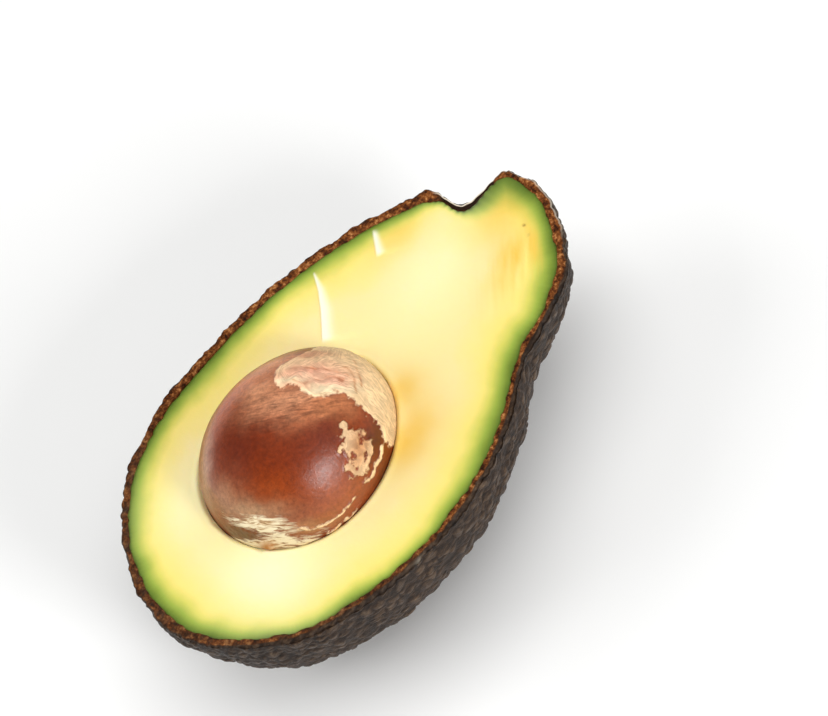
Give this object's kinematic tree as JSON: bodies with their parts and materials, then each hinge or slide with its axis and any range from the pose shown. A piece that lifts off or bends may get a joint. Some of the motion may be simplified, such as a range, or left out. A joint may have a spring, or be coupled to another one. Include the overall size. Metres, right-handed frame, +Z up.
{
  "type": "avocado half",
  "caption": "Half of a ripe dark-skinned avocado, cut lengthwise, with its seed still sitting in the pale green flesh.",
  "frame": {"origin": "on the table, under the middle of the half's bounding box", "axes": "+X along the fruit towards its neck and the stalk's dimple, +Y towards the side that the dimple is on, +Z up, out of the cut face"},
  "size_m": [0.1111, 0.0674, 0.0472],
  "materials": {
    "skin": "pebbled dark purple-brown rind with a soft waxy sheen, reddish brown and fibrous where it is cut",
    "flesh": "smooth, buttery and slightly moist, cream-yellow turning green next to the skin",
    "seed": "satin reddish brown seed coat with pale papery patches where it peels"
  },
  "bodies": {
    "root": {"skin": "skin", "flesh": "flesh", "seed": "seed"}
  },
  "joints": []
}
